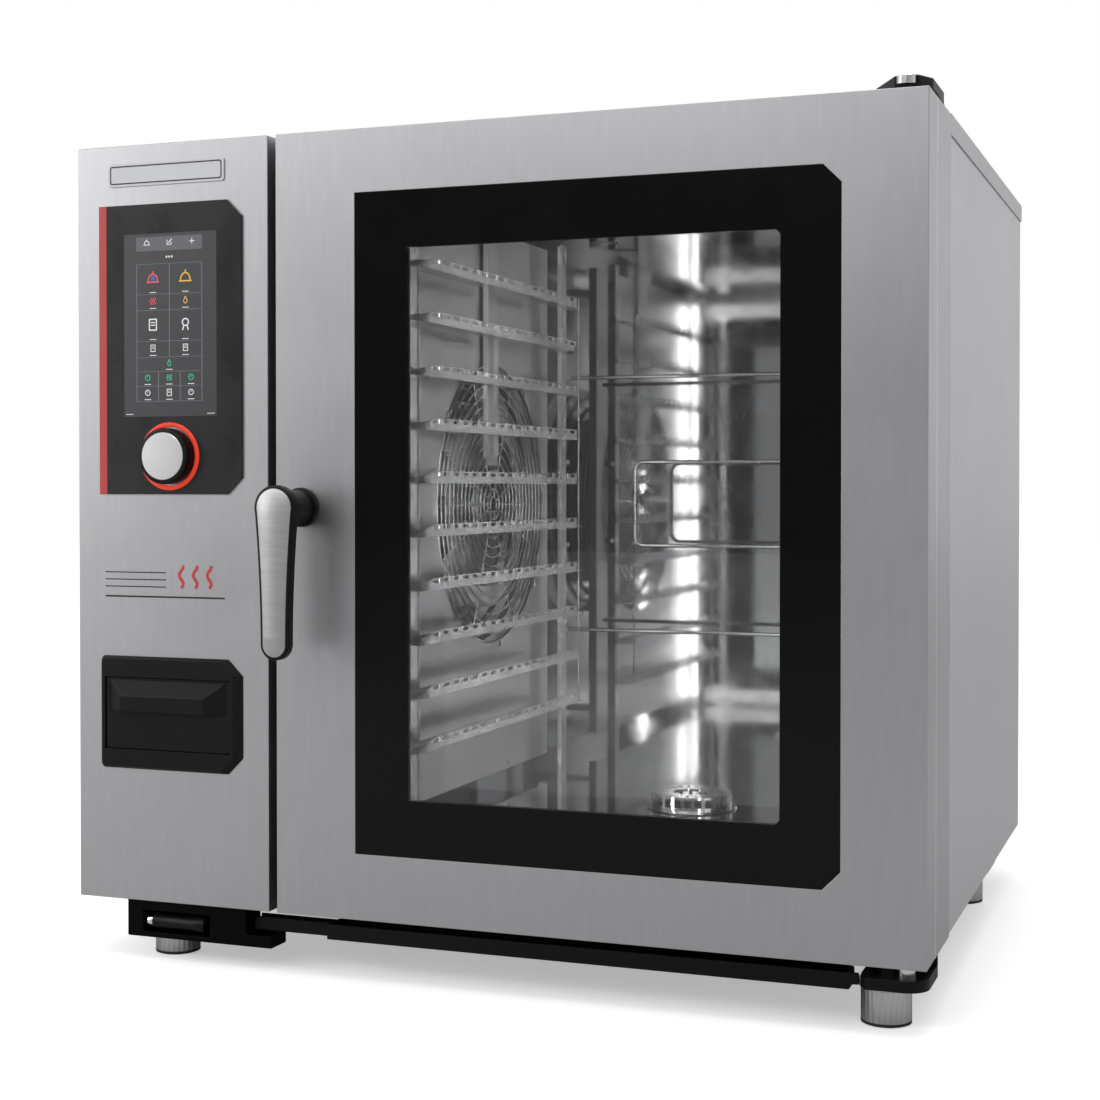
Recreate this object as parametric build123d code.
from build123d import *
import math
import os

# Combi steamer oven for ten racks: a welded cooking cavity in a sheet-steel case, with a control
# column on the left and a glazed door hung on the right.
#
# Everything is laid out from the lower left corner of the front face: x runs to the right,
# y runs to the back, z runs up, in millimetres. write() then moves each sub-part so that the
# origin is at floor level, in the middle of the oven's footprint.

# ---- driving dimensions -------------------------------------------------------------------
WIDTH = 1075
FACE_HEIGHT = 953
DEPTH = 920
UNDERSIDE_TO_FLOOR = 75
LEVER_FRONT_Y = -70
REARMOST_Y = 960
SHEET = 2
RUN = 0.05                      # radial clearance of every pin and shaft
GAP = 0.3                       # air between a moving sub-part and its neighbour

COLUMN_RIGHT = 273              # control column: x from 0 to here
DOOR_LEFT = 284
DOOR_BACK = 66
CASE_FRONT = 76                 # face that the door closes against
LIP_FRONT = 68                  # edge of the case beside the hinge side of the door
CASE_SEAM = 165                 # where the front frame meets the side panels
SIDE_INSET = 2                  # side panels sit inside the flange of the top cover

# cooking cavity (inner faces)
CAVITY_LEFT, CAVITY_RIGHT = 300, 990
CAVITY_BACK = 850
CAVITY_FLOOR, CAVITY_TOP = 78, 912
MOUTH_LEFT = 352                # the frame's left edge hides the fan space
LEVELS = 10
LEVEL_PITCH = 68
LOWEST_RAIL = 187
RACK_MIDDLE = 672               # the two racks mirror about this x
RAIL_FRONT, RAIL_BACK = 104, 732
POSTS = ((120, 173), (706, 728))  # front and rear face of each rack post
POST_WIDTH = 15
POST_TO_MIDDLE = 287            # outer face of a rack post to the middle of the racks
RAIL_DEPTH, RAIL_HEIGHT = 28, 16
ROD_RADIUS = 3
ROD_Y = 750

# fan
FAN_Y, FAN_Z = 500, 497
BAFFLE_X = 365
GRILLE_RADIUS = 205
WHEEL_RADIUS = 150
SHAFT_RADIUS = 10

# door
GLASS_LEFT, GLASS_RIGHT = 391, 980.5
GLASS_BOTTOM, GLASS_TOP = 80, 876
CLEAR_LEFT, CLEAR_RIGHT = 461, 912.5
CLEAR_BOTTOM, CLEAR_TOP = 148, 808
CORNER_CUT = 20.5
HINGE_X, HINGE_Y = 1049, 24
PIN_RADIUS = 8

# handle
HANDLE_X, HANDLE_Z = 319, 498
LEVER_END_Z = 336
LEVER_TOP_RADIUS, LEVER_END_RADIUS = 27, 19
SPINDLE_RADIUS = 8
LATCH_POCKET_X = (HANDLE_X - 17, HANDLE_X + 17)
LATCH_POCKET_Z = (HANDLE_Z - 17, HANDLE_Z + 17)

# controls
DISPLAY = (44, 238, 513.6, 877.3)      # x from, x to, z from, z to
SCREEN = (70, 203, 611, 840)
STRIP_LEFT = 32.7
KNOB_X, KNOB_Z = 135.3, 561
KNOB_RADIUS, RING_OUTER, RING_INNER = 35, 42.5, 37
PUSH_TRAVEL = 1.5

# detergent drawer
BEZEL = (33.8, 237.4, 166.5, 309)
DRAWER = (42, 221, 191.7, 282.2)
BAY_WALL = 3

# services at the back and on the top
VENT_X, VENT_Y, VENT_RADIUS = 440, 800, 24
WATER_XS, WATER_Z, WATER_RADIUS = (120, 180), 120, 12
DRAIN_X, DRAIN_Y, DRAIN_PIPE_Z, DRAIN_RADIUS = 680, 465, 46, 24
WATER_THREAD, DRAIN_SPIGOT, VENT_SPIGOT = 13.2, 25, 25   # radii of the free ends
GLAND_X, GLAND_Z, GLAND_RADIUS = 60, 90, 16

# feet
FOOT_RADIUS, FOOT_COLLAR_RADIUS, FOOT_TOP = 28.5, 30.5, -25.5
FOOT_COLLAR_HEIGHT = 9
BRACKET_BOTTOM = -25
STEM_RADIUS = 8
FEET = {
    "front_left": (107, 60),
    "front_right": (1021, 60),
    "rear_left": (107, 700),
    "rear_right": (1018, 700),
}

TO_ROW_FRAME = Pos(-WIDTH / 2, -(LEVER_FRONT_Y + REARMOST_Y) / 2, UNDERSIDE_TO_FLOOR)
os.makedirs("parts", exist_ok=True)


def write(name, shape):
    """Write one sub-part in the frame whose origin is at floor level under the middle."""
    export_step(TO_ROW_FRAME * shape, f"parts/{name}.step")


# ---- shape helpers ------------------------------------------------------------------------
def block(x0, x1, y0, y1, z0, z1):
    """A box between two corners."""
    middle = Pos((x0 + x1) / 2, (y0 + y1) / 2, (z0 + z1) / 2)
    return middle * Box(x1 - x0, y1 - y0, z1 - z0)


def rod_x(x0, x1, y, z, radius):
    return Pos((x0 + x1) / 2, y, z) * Rot(0, 90, 0) * Cylinder(radius, x1 - x0)


def rod_y(x, y0, y1, z, radius):
    return Pos(x, (y0 + y1) / 2, z) * Rot(90, 0, 0) * Cylinder(radius, y1 - y0)


def rod_z(x, y, z0, z1, radius):
    return Pos(x, y, (z0 + z1) / 2) * Cylinder(radius, z1 - z0)


def front_plate(points, y0, y1):
    """A flat plate facing front: an outline of (x, z) points, thick from y0 to y1."""
    outline = Polyline(*[(x, y0, z) for x, z in points], close=True)
    return extrude(make_face(outline), amount=y1 - y0, dir=(0, 1, 0))


def flat_plate(points, z0, z1):
    """A level plate: an outline of (x, y) points, thick from z0 to z1."""
    outline = Polyline(*[(x, y, z0) for x, y in points], close=True)
    return extrude(make_face(outline), amount=z1 - z0, dir=(0, 0, 1))


def cut_corner_outline(x0, x1, z0, z1, cut):
    """A rectangle whose two right-hand corners are cut at 45 degrees."""
    return [(x0, z0), (x1 - cut, z0), (x1, z0 + cut), (x1, z1 - cut), (x1 - cut, z1), (x0, z1)]


def all_cut_outline(x0, x1, z0, z1, cut):
    """A rectangle with all four corners cut at 45 degrees."""
    left = [(x0, z1 - cut), (x0, z0 + cut), (x0 + cut, z0)]
    return left + [(x1 - cut, z0), (x1, z0 + cut), (x1, z1 - cut), (x1 - cut, z1), (x0 + cut, z1)]


def mirrored(shape):
    """The same shape for the opposite rack."""
    return Pos(2 * RACK_MIDDLE, 0, 0) * mirror(shape, about=Plane.YZ)


# ---- case ---------------------------------------------------------------------------------
def front_frame():
    """Folded face frame with the cavity's mouth, the column's mouth and the latch pocket."""
    frame = block(0, WIDTH, CASE_FRONT, CASE_SEAM, 0, FACE_HEIGHT)
    frame -= block(SHEET, WIDTH - SHEET, CASE_FRONT + SHEET, CASE_SEAM, SHEET, FACE_HEIGHT - SHEET)
    frame -= block(MOUTH_LEFT, CAVITY_RIGHT, CASE_FRONT, CASE_SEAM, CAVITY_FLOOR, CAVITY_TOP)
    frame -= block(20, 255, CASE_FRONT, CASE_SEAM, 40, 905)
    frame -= block(*LATCH_POCKET_X, CASE_FRONT, CASE_FRONT + SHEET, *LATCH_POCKET_Z)
    keeper = block(*LATCH_POCKET_X, CASE_FRONT, 100, *LATCH_POCKET_Z)
    keeper -= rod_y(HANDLE_X, CASE_FRONT, 98, HANDLE_Z, 15.5)
    lip = block(WIDTH - 1.5, WIDTH, LIP_FRONT, CASE_FRONT, 0, FACE_HEIGHT)
    return frame + keeper + lip


def side_panel(left):
    """Side sheet with a return at the front and at the back."""
    outer = SIDE_INSET
    back = DEPTH - 2 * SHEET
    panel = block(outer, outer + SHEET, CASE_SEAM, DEPTH - SHEET, 0, FACE_HEIGHT)
    panel += block(outer + SHEET, outer + 18, CASE_SEAM, CASE_SEAM + SHEET, 40, 925)
    panel += block(outer + SHEET, outer + 18, back - SHEET, back, 40, 925)
    return panel if left else Pos(WIDTH, 0, 0) * mirror(panel, about=Plane.YZ)


def top_cover():
    """Top sheet whose side and rear flanges lap over the panels below it."""
    flange_bottom = 930
    cover = block(0, WIDTH, CASE_SEAM, DEPTH, flange_bottom, FACE_HEIGHT + SHEET)
    cover -= block(SHEET, WIDTH - SHEET, CASE_SEAM, DEPTH - SHEET, flange_bottom, FACE_HEIGHT)
    cover -= rod_z(VENT_X, VENT_Y, FACE_HEIGHT, FACE_HEIGHT + SHEET, VENT_RADIUS)
    return cover


def rear_panel():
    """Rear sheet with two fields of louvre slots and holes for the water, drain and cable."""
    left = SIDE_INSET + SHEET
    panel = block(left, WIDTH - left, DEPTH - 2 * SHEET, DEPTH - SHEET, 4, FACE_HEIGHT)
    for x in (60, 900):
        for row in range(12):
            z = 500 + 22 * row
            panel -= block(x, x + 110, DEPTH - 2 * SHEET, DEPTH - SHEET, z, z + 7)
    for x in WATER_XS:
        panel -= rod_y(x, DEPTH - 2 * SHEET, DEPTH - SHEET, WATER_Z, WATER_RADIUS)
    panel -= rod_y(DRAIN_X, DEPTH - 2 * SHEET, DEPTH - SHEET, DRAIN_PIPE_Z, DRAIN_RADIUS)
    panel -= rod_y(GLAND_X, DEPTH - 2 * SHEET, DEPTH - SHEET, GLAND_Z, GLAND_RADIUS)
    return panel


def base_pan():
    """Floor of the case, the upstands round it, and the blocks that hold the feet."""
    x0 = SIDE_INSET + SHEET
    x1 = WIDTH - x0
    y0 = CASE_FRONT + SHEET
    y1 = DEPTH - 2 * SHEET
    top = 32
    floor = block(x0, x1, y0, y1, SHEET, 2 * SHEET)
    floor += block(66, 148, 655, 745, BRACKET_BOTTOM, SHEET)
    floor += block(977, 1059, 655, 745, BRACKET_BOTTOM, SHEET)
    front_block = block(66, 150, 34, CASE_SEAM, BRACKET_BOTTOM, 0)
    front_block -= block(66, 150, 34, CASE_FRONT, -6, 0)
    holders = [floor, front_block]
    for x, y in FEET.values():
        stem_hole = rod_z(x, y, BRACKET_BOTTOM, 0, STEM_RADIUS + RUN)
        holders = [holder - stem_hole for holder in holders]
    rear = block(x0, x1, y1 - SHEET, y1, 2 * SHEET, top)
    rear -= rod_y(DRAIN_X, y1 - SHEET, y1, DRAIN_PIPE_Z, DRAIN_RADIUS)
    upstands = [
        block(x0, x0 + SHEET, y0, y1 - SHEET, 2 * SHEET, top),
        block(x1 - SHEET, x1, y0, y1 - SHEET, 2 * SHEET, top),
        block(x0 + SHEET, x1 - SHEET, y0, y0 + SHEET, 2 * SHEET, top),
        rear,
    ]
    return Compound(holders + upstands)


def control_fascia():
    """Folded front of the control column, with cut-outs behind the display and the drawer."""
    fascia = block(0, COLUMN_RIGHT, 0, CASE_FRONT, 0, FACE_HEIGHT)
    inner = block(SHEET, COLUMN_RIGHT - SHEET, SHEET, CASE_FRONT, SHEET, FACE_HEIGHT - SHEET)
    fascia -= inner
    fascia -= block(60, 215, 0, SHEET, 600, 850)
    fascia -= rod_y(KNOB_X, 0, SHEET, KNOB_Z, 20)
    x0, x1, z0, z1 = DRAWER
    fascia -= block(x0 - BAY_WALL, x1 + BAY_WALL, 0, SHEET, z0 - BAY_WALL, z1 + BAY_WALL)
    return fascia


write("front_frame", front_frame())
write("left_side_panel", side_panel(left=True))
write("right_side_panel", side_panel(left=False))
write("top_cover", top_cover())
write("rear_panel", rear_panel())
write("base_pan", base_pan())
write("control_fascia", control_fascia())

badge = front_plate(all_cut_outline(44, 215, 899, 932, 6), -SHEET, 0)
write("badge_plate", badge)

# ---- cavity -------------------------------------------------------------------------------
floor_sheet = block(
    CAVITY_LEFT - SHEET, CAVITY_RIGHT + SHEET, CASE_FRONT + SHEET, CAVITY_BACK + SHEET,
    CAVITY_FLOOR - SHEET, CAVITY_FLOOR,
)
floor_sheet -= rod_z(DRAIN_X, DRAIN_Y, CAVITY_FLOOR - SHEET, CAVITY_FLOOR, 50)

ceiling_sheet = block(
    CAVITY_LEFT - SHEET, CAVITY_RIGHT + SHEET, CASE_FRONT + SHEET, CAVITY_BACK + SHEET,
    CAVITY_TOP, CAVITY_TOP + SHEET,
)
ceiling_sheet -= rod_z(VENT_X, VENT_Y, CAVITY_TOP, CAVITY_TOP + SHEET, VENT_RADIUS)

left_wall = block(
    CAVITY_LEFT - SHEET, CAVITY_LEFT, CASE_FRONT + SHEET, CAVITY_BACK, CAVITY_FLOOR, CAVITY_TOP,
)
left_wall -= rod_x(CAVITY_LEFT - SHEET, CAVITY_LEFT, FAN_Y, FAN_Z, 16)

right_wall = block(
    CAVITY_RIGHT, CAVITY_RIGHT + SHEET, CASE_FRONT + SHEET, CAVITY_BACK, CAVITY_FLOOR, CAVITY_TOP,
)

back_wall = block(
    CAVITY_LEFT - SHEET, CAVITY_RIGHT + SHEET, CAVITY_BACK, CAVITY_BACK + SHEET,
    CAVITY_FLOOR, CAVITY_TOP,
)
write("cavity_liner", Compound([floor_sheet, ceiling_sheet, left_wall, right_wall, back_wall]))

# Mineral wool slabs against the outside of the five cavity walls.
WOOL = 38
wool_front, wool_back = CASE_SEAM + 4, CAVITY_BACK + SHEET
left_wool = block(
    CAVITY_LEFT - SHEET - WOOL, CAVITY_LEFT - SHEET, wool_front, wool_back, 80, 910,
)
left_wool -= rod_x(CAVITY_LEFT - SHEET - WOOL, CAVITY_LEFT - SHEET, FAN_Y, FAN_Z, 22)
right_wool = block(
    CAVITY_RIGHT + SHEET, CAVITY_RIGHT + SHEET + WOOL, wool_front, wool_back, 80, 910,
)
top_wool = block(
    CAVITY_LEFT, CAVITY_RIGHT, wool_front, wool_back, CAVITY_TOP + SHEET, CAVITY_TOP + SHEET + 36,
)
top_wool -= rod_z(VENT_X, VENT_Y, CAVITY_TOP + SHEET, CAVITY_TOP + SHEET + 36, VENT_RADIUS)
floor_wool = block(
    CAVITY_LEFT, CAVITY_RIGHT, wool_front, 380, 40, CAVITY_FLOOR - SHEET,
)
back_wool = block(
    CAVITY_LEFT, CAVITY_RIGHT, wool_back, wool_back + WOOL, 80, 910,
)
write("cavity_insulation", Compound([left_wool, right_wool, top_wool, floor_wool, back_wool]))


def ring_frame(x0, x1, z0, z1, width, y0, y1):
    """A flat rectangular ring facing front."""
    ring = block(x0 - width, x1 + width, y0, y1, z0 - width, z1 + width)
    return ring - block(x0, x1, y0, y1, z0, z1)


GASKET_WIDTH = 12
gasket = ring_frame(
    MOUTH_LEFT, CAVITY_RIGHT, CAVITY_FLOOR, CAVITY_TOP, GASKET_WIDTH, DOOR_BACK + GAP, CASE_FRONT,
)
write("door_gasket", gasket)


# ---- fan ----------------------------------------------------------------------------------
BAFFLE = (100, 730, 102, 895)     # y from, y to, z from, z to
RETURN = 12
baffle = block(BAFFLE_X, BAFFLE_X + SHEET, *BAFFLE)
baffle -= rod_x(BAFFLE_X, BAFFLE_X + SHEET, FAN_Y, FAN_Z, GRILLE_RADIUS - 5)
baffle_pieces = [
    baffle,
    block(BAFFLE_X - RETURN, BAFFLE_X, BAFFLE[0], BAFFLE[0] + SHEET, *BAFFLE[2:]),
    block(BAFFLE_X - RETURN, BAFFLE_X, BAFFLE[1] - SHEET, BAFFLE[1], *BAFFLE[2:]),
]
for y in (BAFFLE[0] + 40, BAFFLE[1] - 40):
    for z in (BAFFLE[2] + 38, BAFFLE[3] - 38):
        baffle_pieces.append(rod_x(CAVITY_LEFT, BAFFLE_X, y, z, 6))
write("air_baffle", Compound(baffle_pieces))


def disc_x(x0, x1, outer, inner=0):
    """A disc or washer around the fan's axis."""
    disc = rod_x(x0, x1, FAN_Y, FAN_Z, outer)
    return disc - rod_x(x0, x1, FAN_Y, FAN_Z, inner) if inner else disc


GRILLE_RINGS = 14
GRILLE_SPOKES = 8
grille_x = (BAFFLE_X + SHEET, BAFFLE_X + SHEET + 3)
ring_pitch = (GRILLE_RADIUS - 25) / (GRILLE_RINGS - 1)
grille = disc_x(*grille_x, GRILLE_RADIUS, GRILLE_RADIUS - 4)
for ring in range(GRILLE_RINGS - 1):
    outer = 25 + ring * ring_pitch
    grille += disc_x(*grille_x, outer, outer - 3)
for spoke in range(GRILLE_SPOKES):
    arm = Pos(sum(grille_x) / 2, FAN_Y, FAN_Z) * Rot(360 / GRILLE_SPOKES * spoke + 22.5, 0, 0)
    grille += arm * Pos(0, GRILLE_RADIUS / 2 + 10, 0) * Box(3, GRILLE_RADIUS - 24, 4)
write("fan_grille", grille)

WHEEL_LEFT, WHEEL_RIGHT = 320, 358
BLADES = 20
wheel = disc_x(WHEEL_LEFT, WHEEL_LEFT + SHEET, WHEEL_RADIUS, SHAFT_RADIUS)
wheel += disc_x(WHEEL_LEFT + SHEET, WHEEL_LEFT + 22, 24, SHAFT_RADIUS)
wheel += disc_x(WHEEL_RIGHT - SHEET, WHEEL_RIGHT, WHEEL_RADIUS, WHEEL_RADIUS - 30)
for blade in range(BLADES):
    place = Pos((WHEEL_LEFT + WHEEL_RIGHT) / 2, FAN_Y, FAN_Z) * Rot(360 / BLADES * blade, 0, 0)
    wheel += place * Pos(0, WHEEL_RADIUS - 21, 0) * Rot(35, 0, 0) * Box(
        WHEEL_RIGHT - WHEEL_LEFT - 2 * SHEET, 40, SHEET
    )
write("fan_wheel", wheel)
write("fan_shaft", disc_x(150, WHEEL_LEFT + 22, SHAFT_RADIUS))

MOTOR_FACE = CAVITY_LEFT - SHEET - WOOL
motor = disc_x(120, MOTOR_FACE - 6, 68)
motor += disc_x(MOTOR_FACE - 6, MOTOR_FACE, 90)
motor -= disc_x(148, MOTOR_FACE, SHAFT_RADIUS + RUN)
write("fan_motor", motor)

heater_rings = []
for x, radius in ((312, 172), (326, 186), (340, 200)):
    loop = Pos(x, FAN_Y, FAN_Z) * Rot(0, 90, 0) * Rot(0, 0, 45) * Torus(radius, 4)
    heater_rings.append(loop + rod_x(CAVITY_LEFT, x + 1, FAN_Y, FAN_Z - radius, 3.5))
write("heating_elements", Compound(heater_rings))

# Flat channel that brings the water down from the ceiling to the hub of the fan.
channel_x = BAFFLE_X + SHEET + 3
channel_front, channel_rear = FAN_Y - 42, FAN_Y + 12
channel_outline = [
    (channel_x, channel_front),
    (channel_x + 8, channel_front),
    (channel_x + 8, channel_front + 22),
    (channel_x + SHEET, channel_rear),
    (channel_x, channel_rear),
]
injector = flat_plate(channel_outline, FAN_Z + 69, CAVITY_TOP)
injector += block(
    channel_x, channel_x + 4, channel_front + 12, channel_rear - 10, FAN_Z + 56, FAN_Z + 69,
)
write("water_injector", injector)

# ---- racks --------------------------------------------------------------------------------
POST_X = RACK_MIDDLE - POST_TO_MIDDLE
RAIL_X = POST_X + POST_WIDTH
TIP = 24


def rail(z):
    """U-shaped tray rail with a tapered front tip."""
    x1 = RAIL_X + RAIL_DEPTH
    top = z + RAIL_HEIGHT
    shape = block(RAIL_X, x1, RAIL_FRONT, RAIL_BACK, z, top)
    shape -= block(
        RAIL_X + SHEET, x1 - SHEET, RAIL_FRONT + SHEET, RAIL_BACK - SHEET, z + SHEET, top,
    )
    taper = flat_plate([(x1, RAIL_FRONT), (x1, RAIL_FRONT + TIP), (x1 - 8, RAIL_FRONT)], z, top)
    return shape - taper


def rack():
    """Posts, ten rails and the tabs that carry the rods behind the trays."""
    posts = [
        block(POST_X, RAIL_X, front, rear, CAVITY_FLOOR, CAVITY_TOP - 12)
        for front, rear in POSTS
    ]
    rails = [rail(LOWEST_RAIL + LEVEL_PITCH * level) for level in range(LEVELS)]
    rear_face = POSTS[-1][1]
    tabs = [
        block(POST_X, RAIL_X, rear_face, ROD_Y - ROD_RADIUS, z - 4, z + 4)
        for z in ROD_ZS + LOOP_ZS
    ]
    return posts + rails + tabs


ROD_ZS = [297, 694]
LOOP_ZS = [431, 561]
left_rack = rack()
write("left_rack", Compound(left_rack))
write("right_rack", Compound([mirrored(piece) for piece in left_rack]))

# Two cross rods and a hairpin wire stop the trays at the back.
rods = [rod_x(POST_X, 2 * RACK_MIDDLE - POST_X, ROD_Y, z, ROD_RADIUS) for z in ROD_ZS]
LOOP_LEFT, LOOP_BEND = 506, 14
loop_right = 2 * RACK_MIDDLE - POST_X
loop_path = FilletPolyline(
    (loop_right, ROD_Y, LOOP_ZS[0]),
    (LOOP_LEFT, ROD_Y, LOOP_ZS[0]),
    (LOOP_LEFT, ROD_Y, LOOP_ZS[1]),
    (loop_right, ROD_Y, LOOP_ZS[1]),
    radius=LOOP_BEND,
)
loop_section = Plane(origin=(loop_right, ROD_Y, LOOP_ZS[0]), z_dir=(-1, 0, 0)) * Circle(ROD_RADIUS)
write("tray_stop_rods", Compound(rods + [sweep(loop_section, path=loop_path)]))

# ---- drain --------------------------------------------------------------------------------
CUP_RADIUS, CUP_BORE = 54, 50
drain_cup = rod_z(DRAIN_X, DRAIN_Y, 20, CAVITY_FLOOR - SHEET, CUP_RADIUS)
drain_cup -= rod_z(DRAIN_X, DRAIN_Y, 22, CAVITY_FLOOR - SHEET, CUP_BORE)
drain_cup -= rod_y(DRAIN_X, DRAIN_Y, DRAIN_Y + CUP_RADIUS, DRAIN_PIPE_Z, 22)
pipe_ends = (DRAIN_Y + CUP_RADIUS, REARMOST_Y)
drain_pipe = rod_y(DRAIN_X, *pipe_ends, DRAIN_PIPE_Z, DRAIN_RADIUS)
drain_pipe += rod_y(DRAIN_X, DEPTH - SHEET, REARMOST_Y, DRAIN_PIPE_Z, DRAIN_SPIGOT)
drain_pipe -= rod_y(DRAIN_X, *pipe_ends, DRAIN_PIPE_Z, 22)
write("drain_pipe", Compound([drain_cup, drain_pipe]))

# Lift-out sieve: a low dome on a flange, with slots in its side and a spigot in the drain.
sieve_z = CAVITY_FLOOR + GAP
sieve = rod_z(DRAIN_X, DRAIN_Y, sieve_z, sieve_z + 3, 63)
sieve += rod_z(DRAIN_X, DRAIN_Y, sieve_z + 3, sieve_z + 22, 56)
sieve -= rod_z(DRAIN_X, DRAIN_Y, sieve_z, sieve_z + 19, 50)
sieve -= rod_z(DRAIN_X, DRAIN_Y, sieve_z + 19, sieve_z + 22, 24)
SIEVE_SLOTS = 12
for slot in range(SIEVE_SLOTS):
    cutter = Pos(DRAIN_X, DRAIN_Y, sieve_z + 11) * Rot(0, 0, 360 / SIEVE_SLOTS * slot)
    sieve -= cutter * Pos(54, 0, 0) * Box(12, 14, 11)
write("drain_sieve", sieve)

# ---- water, vent and cable at the back ----------------------------------------------------
valve = block(WATER_XS[0] - 22, WATER_XS[1] + 22, DEPTH - 120, DEPTH - 60, WATER_Z - 24, WATER_Z + 24)
valve += rod_z(WATER_XS[0], DEPTH - 90, WATER_Z + 24, WATER_Z + 62, 17)
valve += rod_z(WATER_XS[1], DEPTH - 90, WATER_Z + 24, WATER_Z + 62, 17)
valve += block(120, 180, DEPTH - 118, DEPTH - 62, 2 * SHEET, WATER_Z - 24)
for x in WATER_XS:
    valve += rod_y(x, DEPTH - 60, DEPTH - SHEET, WATER_Z, WATER_RADIUS)
    valve += rod_y(x, DEPTH - SHEET, DEPTH + 22, WATER_Z, WATER_THREAD)
    valve -= rod_y(x, DEPTH - 80, DEPTH + 22, WATER_Z, 9)
write("water_inlet_valve", valve)

gland = rod_y(GLAND_X, DEPTH - 30, DEPTH + 18, GLAND_Z, GLAND_RADIUS)
gland += rod_y(GLAND_X, DEPTH - SHEET, DEPTH + 8, GLAND_Z, 21)
gland -= rod_y(GLAND_X, DEPTH - 30, DEPTH + 18, GLAND_Z, 11)
write("cable_gland", gland)

VENT_TOP = FACE_HEIGHT + 37
vent = rod_z(VENT_X, VENT_Y, CAVITY_TOP, VENT_TOP, VENT_RADIUS)
vent += rod_z(VENT_X, VENT_Y, FACE_HEIGHT + SHEET, VENT_TOP, VENT_SPIGOT)
vent -= rod_z(VENT_X, VENT_Y, CAVITY_TOP, VENT_TOP, 22)
write("vent_pipe", vent)

# ---- feet ---------------------------------------------------------------------------------
for corner, (x, y) in FEET.items():
    foot = rod_z(x, y, -UNDERSIDE_TO_FLOOR, FOOT_TOP, FOOT_RADIUS)
    foot += rod_z(x, y, FOOT_TOP - FOOT_COLLAR_HEIGHT, FOOT_TOP, FOOT_COLLAR_RADIUS)
    foot += rod_z(x, y, FOOT_TOP, -1, STEM_RADIUS)
    write(f"foot_{corner}", foot)

# ---- door hinges --------------------------------------------------------------------------
ARM_BOTTOM, ARM_TOP = BRACKET_BOTTOM, -12
CAP_BOTTOM, CAP_TOP = FACE_HEIGHT + SHEET, FACE_HEIGHT + 15
ARM_LEFT, ARM_INNER, ARM_SIDE_BACK, ARM_BACK = 1000, 1056, 80, 200
lower_arm = flat_plate(
    [
        (1008, -2), (HINGE_X, -2), (HINGE_X, HINGE_Y), (WIDTH, HINGE_Y), (WIDTH, ARM_SIDE_BACK),
        (ARM_INNER, ARM_SIDE_BACK), (ARM_INNER, ARM_BACK), (ARM_LEFT, ARM_BACK), (ARM_LEFT, 22),
        (1002, 10),
    ],
    ARM_BOTTOM, ARM_TOP,
)
lower_arm += rod_z(HINGE_X, HINGE_Y, ARM_BOTTOM, ARM_TOP, 26)
lower_arm += block(ARM_LEFT, ARM_INNER, CASE_FRONT, ARM_BACK, ARM_TOP, 0)
lower_arm += block(ARM_INNER, WIDTH, CASE_FRONT, ARM_SIDE_BACK, ARM_TOP, 0)
lower_arm -= rod_z(HINGE_X, HINGE_Y, ARM_BOTTOM, ARM_TOP, PIN_RADIUS)
lower_arm -= rod_z(*FEET["front_right"], ARM_BOTTOM, ARM_TOP, STEM_RADIUS + RUN)
write("lower_hinge_arm", lower_arm)

CAP_BACK = 114
upper_arm = flat_plate(
    [(1036, 2), (1062, 2), (WIDTH, 30), (WIDTH, CAP_BACK), (1004, CAP_BACK), (1004, DOOR_BACK)],
    CAP_BOTTOM, CAP_TOP,
)
upper_arm += block(1004, WIDTH, CASE_FRONT, CAP_BACK, FACE_HEIGHT, CAP_BOTTOM)
upper_arm -= rod_z(HINGE_X, HINGE_Y, CAP_BOTTOM, CAP_TOP, PIN_RADIUS)
write("upper_hinge_arm", upper_arm)

lower_pin = rod_z(HINGE_X, HINGE_Y, ARM_BOTTOM, 18, PIN_RADIUS)
lower_pin += rod_z(HINGE_X, HINGE_Y, ARM_TOP, -GAP, 10.5)
upper_pin = rod_z(HINGE_X, HINGE_Y, FACE_HEIGHT - 18, CAP_TOP, PIN_RADIUS)
write("hinge_pins", Compound([lower_pin, upper_pin]))

# ---- control panel ------------------------------------------------------------------------
PANEL_BACK, PANEL_FRONT = 0, -3
display = front_plate(cut_corner_outline(*DISPLAY, CORNER_CUT), PANEL_FRONT, PANEL_BACK)
display -= rod_y(KNOB_X, PANEL_FRONT, PANEL_BACK, KNOB_Z, RING_OUTER)
write("display_glass", display)
write("accent_strip", block(STRIP_LEFT, DISPLAY[0], PANEL_FRONT, PANEL_BACK, *DISPLAY[2:]))

touch = block(SCREEN[0] - 6, SCREEN[1] + 6, SHEET, 10, SCREEN[2] - 6, SCREEN[3] + 6)
touch += block(70, 82, 10, 24, 640, 652) + block(190, 202, 10, 24, 800, 812)
touch += block(30, 245, 24, 26, 620, 880)
touch += block(60, 120, 26, 34, 700, 760)
touch += block(150, 215, 26, 40, 640, 700)
write("touch_display", touch)

power = block(10, 13, 300, 500, 600, 840)
power += block(13, 60, 330, 420, 700, 800)
power += block(13, 45, 430, 480, 640, 690)
power += block(13, 45, 330, 380, 620, 670)
power += block(4, 10, 320, 340, 640, 820) + block(4, 10, 460, 480, 640, 820)
write("power_board", power)

ring = rod_y(KNOB_X, PANEL_FRONT - 2, PANEL_BACK, KNOB_Z, RING_OUTER)
ring -= rod_y(KNOB_X, PANEL_FRONT - 2, PANEL_BACK, KNOB_Z, RING_INNER)
write("knob_light_ring", ring)

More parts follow.
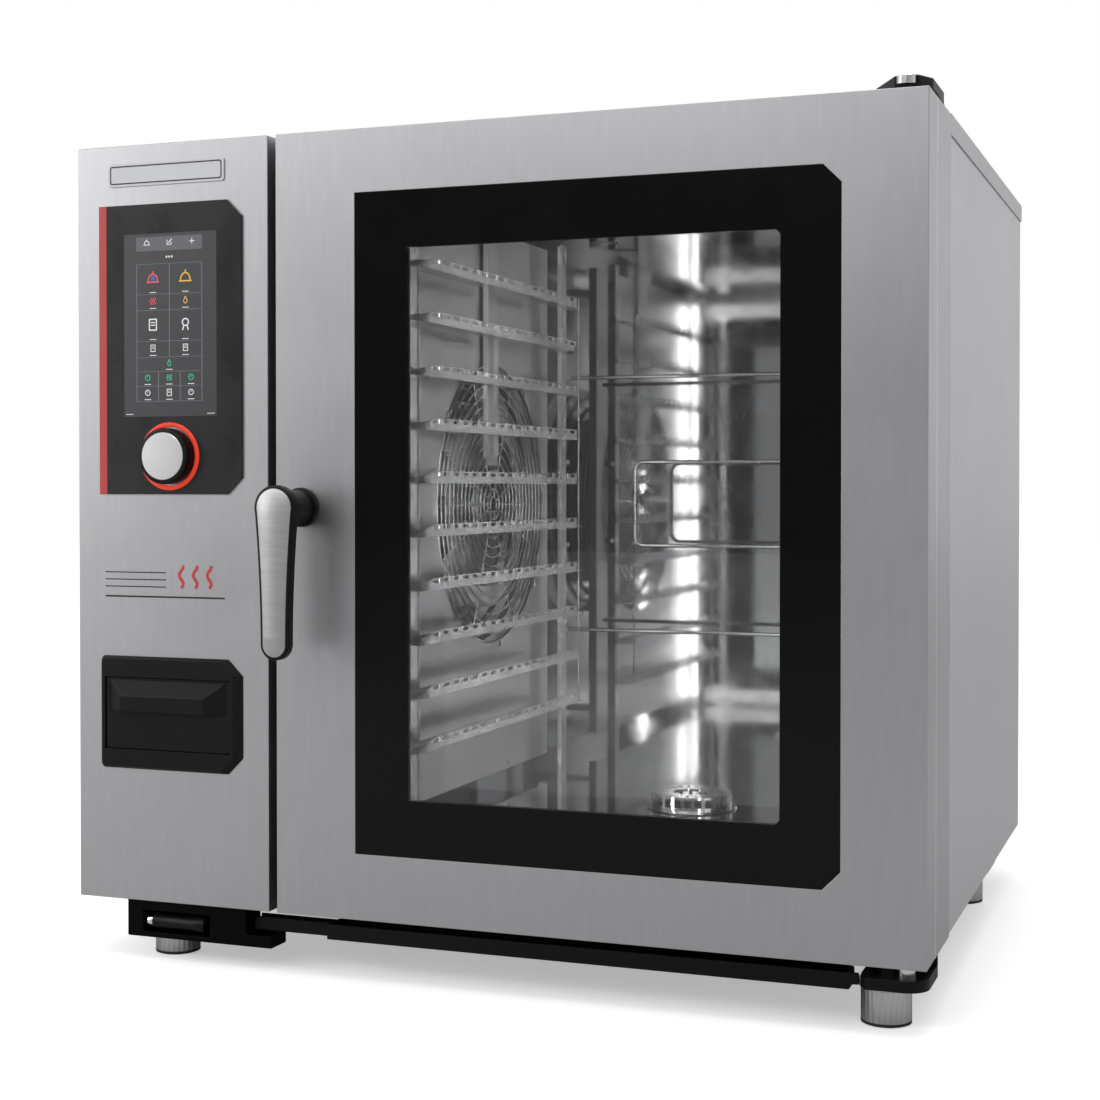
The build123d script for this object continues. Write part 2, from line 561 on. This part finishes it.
# Rotary selector that can also be pushed: the plunger slides in the housing, the knob turns on it.
housing = rod_y(KNOB_X, PANEL_BACK, 30, KNOB_Z, 19)
housing += rod_y(KNOB_X, SHEET, 8, KNOB_Z, 30)
housing -= rod_y(KNOB_X, PANEL_BACK, 26, KNOB_Z, 9)
write("encoder_housing", housing)
PLUNGER_RADIUS = 6
plunger = rod_y(KNOB_X, -14, 22, KNOB_Z, PLUNGER_RADIUS)
plunger += rod_y(KNOB_X, 4, 10, KNOB_Z, 9 - RUN)
write("encoder_plunger", plunger)

KNOB_BACK, KNOB_FRONT = -3.5, -19
knob = rod_y(KNOB_X, KNOB_FRONT, KNOB_BACK, KNOB_Z, KNOB_RADIUS)
knob -= rod_y(KNOB_X, -15, KNOB_BACK, KNOB_Z, PLUNGER_RADIUS + RUN)
write("knob_body", knob)
write("knob_cap", rod_y(KNOB_X, KNOB_FRONT - 1.5, KNOB_FRONT, KNOB_Z, 29.5))

# ---- detergent drawer ---------------------------------------------------------------------
BEZEL_FRONT = -6
bezel = front_plate(cut_corner_outline(*BEZEL, CORNER_CUT), BEZEL_FRONT, 0)
x0, x1, z0, z1 = DRAWER
bezel -= block(x0 - GAP, x1 + GAP, BEZEL_FRONT, 0, z0 - GAP, z1 + GAP)
PANEL_Y = BEZEL_FRONT + 2
panel = block(x0, x1, PANEL_Y, SHEET + 2, z0, z1)


def hood(inset):
    """Grip that swells from the panel with a sloping top and sloping ends, flat underneath."""
    front = PANEL_Y - 12 + inset
    upright = make_face(Polyline(
        (0, PANEL_Y, z1 - 2 - 1.6 * inset),
        (0, front, z1 - 22 - 0.6 * inset),
        (0, front, z1 - 42),
        (0, PANEL_Y, z1 - 42),
        close=True,
    ))
    level = make_face(Polyline(
        (x0 + 5 + 1.7 * inset, PANEL_Y, z0),
        (x0 + 28 + 0.7 * inset, front, z0),
        (x1 - 31 - 0.7 * inset, front, z0),
        (x1 - 5 - 1.7 * inset, PANEL_Y, z0),
        close=True,
    ))
    return extrude(upright, amount=300, dir=(1, 0, 0)) & extrude(level, amount=300, dir=(0, 0, 1))


grip = hood(0) - hood(3)
BAY_BACK = 250
bay = bezel + block(
    x0 - BAY_WALL, x1 + BAY_WALL, 0, BAY_BACK, z0 - BAY_WALL, z1 + BAY_WALL,
)
bay -= block(x0 - GAP, x1 + GAP, 0, BAY_BACK - BAY_WALL, z0 - GAP, z1 + GAP)
write("drawer_housing", bay)
TRAY_BACK = BAY_BACK - 6
tray = block(x0 + 3, x1 - 3, SHEET + 2, TRAY_BACK, z0 + 1, z1 - 10)
tray -= block(x0 + 6, x1 - 6, SHEET + 5, TRAY_BACK - 3, z0 + 4, z1 - 10)
write("detergent_drawer", panel + grip + tray)
bottle = block(x0 + 20, x1 - 60, 150, TRAY_BACK - 6, z0 + 4, z1 - 16)
write("detergent_cartridge", bottle)

# ---- docking block for the hand shower ----------------------------------------------------
DOCK_RIGHT, DOCK_FRONT, DOCK_BACK, DOCK_BOTTOM = 272, 8, 46, -48
FUNNEL_RIM = -33
SPOUT_END = 240
dock = block(65, DOCK_RIGHT, DOCK_FRONT, 29, DOCK_BOTTOM, 0)
dock += block(150, DOCK_RIGHT, 29, DOCK_BACK, DOCK_BOTTOM, 0)
dock -= block(88, 184, DOCK_FRONT, 27.4, -41, -14)
dock -= block(SPOUT_END - 4, DOCK_RIGHT, DOCK_FRONT, DOCK_BACK, FUNNEL_RIM, 0)
dock -= block(
    SPOUT_END + 2, DOCK_RIGHT - 4, DOCK_FRONT + 4, DOCK_BACK - 4, DOCK_BOTTOM + 4, FUNNEL_RIM,
)
write("shower_dock", dock)
SHOWER_Z, SHOWER_Y, SHOWER_RADIUS = -28, 16.5, 9.5
shower = rod_x(100, 176, SHOWER_Y, SHOWER_Z, SHOWER_RADIUS)
shower += rod_x(160, 174, SHOWER_Y, SHOWER_Z, SHOWER_RADIUS + 1)
shower += rod_x(92, 100, SHOWER_Y, SHOWER_Z, 7.5)
write("hand_shower", shower)

# ---- door ---------------------------------------------------------------------------------
DOOR = (DOOR_LEFT, WIDTH, 0, FACE_HEIGHT)
GLASS_THICK = 5
FRAME_FRONT = DOOR_BACK - 6
glass_outline = cut_corner_outline(GLASS_LEFT, GLASS_RIGHT, GLASS_BOTTOM, GLASS_TOP, CORNER_CUT)
door_skin = block(*DOOR[:2], 0, FRAME_FRONT, *DOOR[2:])
door_skin -= block(
    DOOR_LEFT + SHEET, WIDTH - SHEET, SHEET, FRAME_FRONT, SHEET, FACE_HEIGHT - SHEET,
)
door_skin -= front_plate(glass_outline, 0, SHEET)
for z in (0, FACE_HEIGHT - SHEET):
    door_skin -= rod_z(HINGE_X, HINGE_Y, z, z + SHEET, 14)
door_skin -= rod_y(HANDLE_X, 0, SHEET, HANDLE_Z, 12)
write("door_skin", door_skin)

pane = front_plate(glass_outline, 0, GLASS_THICK)
write("door_outer_glass", pane)

# The carrier holds the outer pane in a rebate; its opening is the clear part of the window.
carrier = block(GLASS_LEFT - 18, GLASS_RIGHT + 18, SHEET, 9, GLASS_BOTTOM - 18, GLASS_TOP + 18)
carrier -= front_plate(glass_outline, SHEET, GLASS_THICK)
carrier -= front_plate(
    cut_corner_outline(CLEAR_LEFT, CLEAR_RIGHT, CLEAR_BOTTOM, CLEAR_TOP, 5.5), GLASS_THICK, 9,
)
write("glass_carrier", carrier)

# The inner frame carries a ring of light that shines into the cavity, and the inner pane.
LIGHT = (356, 988, 84, 890)
LIGHT_WIDTH, LIGHT_DEPTH = 26, 4
INNER_OPENING = (390, 954, 116, 858)
x0, x1, z0, z1 = LIGHT
light_ring = block(x0, x1, DOOR_BACK - LIGHT_DEPTH, DOOR_BACK, z0, z1)
light_ring -= block(
    x0 + LIGHT_WIDTH, x1 - LIGHT_WIDTH, DOOR_BACK - LIGHT_DEPTH, DOOR_BACK,
    z0 + LIGHT_WIDTH, z1 - LIGHT_WIDTH,
)
write("door_light_strips", light_ring)

inner_frame = block(*DOOR[:2], FRAME_FRONT, DOOR_BACK, *DOOR[2:]) - light_ring
inner_frame -= block(*INNER_OPENING[:2], FRAME_FRONT, DOOR_BACK, *INNER_OPENING[2:])
inner_frame -= rod_y(HANDLE_X, FRAME_FRONT, DOOR_BACK, HANDLE_Z, SPINDLE_RADIUS + RUN)
write("door_inner_frame", inner_frame)
PANE_LAP = 14
x0, x1, z0, z1 = INNER_OPENING
inner_pane = block(
    x0 - PANE_LAP, x1 + PANE_LAP, FRAME_FRONT - GLASS_THICK, FRAME_FRONT,
    z0 - PANE_LAP, z1 + PANE_LAP,
)
write("door_inner_glass", inner_pane)

bushes = []
for z in (0, FACE_HEIGHT - 20):
    bush = rod_z(HINGE_X, HINGE_Y, z, z + 20, 14)
    bushes.append(bush - rod_z(HINGE_X, HINGE_Y, z, z + 20, PIN_RADIUS + RUN))
write("hinge_bushes", Compound(bushes))

# Drip tray under the door, with a spout that reaches over the funnel of the docking block.
TRAY_START, TRAY_END, TRAY_FRONT, TRAY_REAR = 345, 988, 14, 46
TRAY_BOTTOM, TRAY_RIM, TRAY_WALL = -31, -12, 3
drip = block(TRAY_START, TRAY_END, TRAY_FRONT, TRAY_REAR, TRAY_BOTTOM, TRAY_RIM)
drip -= block(
    TRAY_START + 4, TRAY_END - 4, TRAY_FRONT + TRAY_WALL, TRAY_REAR - TRAY_WALL,
    TRAY_BOTTOM + TRAY_WALL, TRAY_RIM,
)
drip += block(TRAY_START + 4, TRAY_END - 4, TRAY_REAR - TRAY_WALL, TRAY_REAR, TRAY_RIM, 0)
drip += block(TRAY_END, 998.4, TRAY_FRONT, 19, BRACKET_BOTTOM, TRAY_RIM)
drip += block(SPOUT_END, TRAY_START, 22, 42, TRAY_BOTTOM + 2, TRAY_RIM)
drip -= block(SPOUT_END, TRAY_START + 4, 25, 39, TRAY_BOTTOM + 5, TRAY_RIM)
write("door_drip_tray", drip)

# ---- door handle --------------------------------------------------------------------------
boss = rod_y(HANDLE_X, -6, 0, HANDLE_Z, 24)
boss += rod_y(HANDLE_X, 0, 12, HANDLE_Z, 12)
boss -= rod_y(HANDLE_X, -6, 12, HANDLE_Z, SPINDLE_RADIUS + RUN)
write("handle_boss", boss)


def lever_outline(inset, y0, y1):
    """Tapering lever seen from the front: a large round end, a waist and a small round end."""
    top = LEVER_TOP_RADIUS - inset
    end = LEVER_END_RADIUS - inset
    waist_z = 415
    body = rod_y(HANDLE_X, y0, y1, HANDLE_Z, top)
    body += block(HANDLE_X - end, HANDLE_X + end, y0, y1, LEVER_END_Z, waist_z)
    body += rod_y(HANDLE_X, y0, y1, LEVER_END_Z, end)
    shoulder = [
        (HANDLE_X - end, waist_z), (HANDLE_X + end, waist_z),
        (HANDLE_X + 0.97 * top, HANDLE_Z - 0.24 * top), (HANDLE_X - 0.97 * top, HANDLE_Z - 0.24 * top),
    ]
    return body + front_plate(shoulder, y0, y1)


INLAY_THICK = 1.5
lever = lever_outline(0, LEVER_FRONT_Y + INLAY_THICK, -54)
lever += rod_y(HANDLE_X, -54, -6 - GAP, HANDLE_Z, 21)
write("handle_lever", lever)
write("handle_inlay", lever_outline(4, LEVER_FRONT_Y, LEVER_FRONT_Y + INLAY_THICK))
spindle = rod_y(HANDLE_X, -6 - GAP, 90, HANDLE_Z, SPINDLE_RADIUS)
spindle += rod_y(HANDLE_X, 90, 96, HANDLE_Z, 11)
spindle += block(HANDLE_X - 5, HANDLE_X + 5, 90, 96, HANDLE_Z - 14.5, HANDLE_Z)
write("handle_spindle", spindle)

# ---- screws -------------------------------------------------------------------------------
screws = []
for z in (60, 340, 620, 900):
    for x in (30, WIDTH - 30):
        screws.append(rod_y(x, DEPTH - SHEET, DEPTH + 1, z, 5))
for x in (1024, 1060):
    screws.append(rod_z(x, 96, CAP_TOP, CAP_TOP + 2, 5))
write("case_screws", Compound(screws))
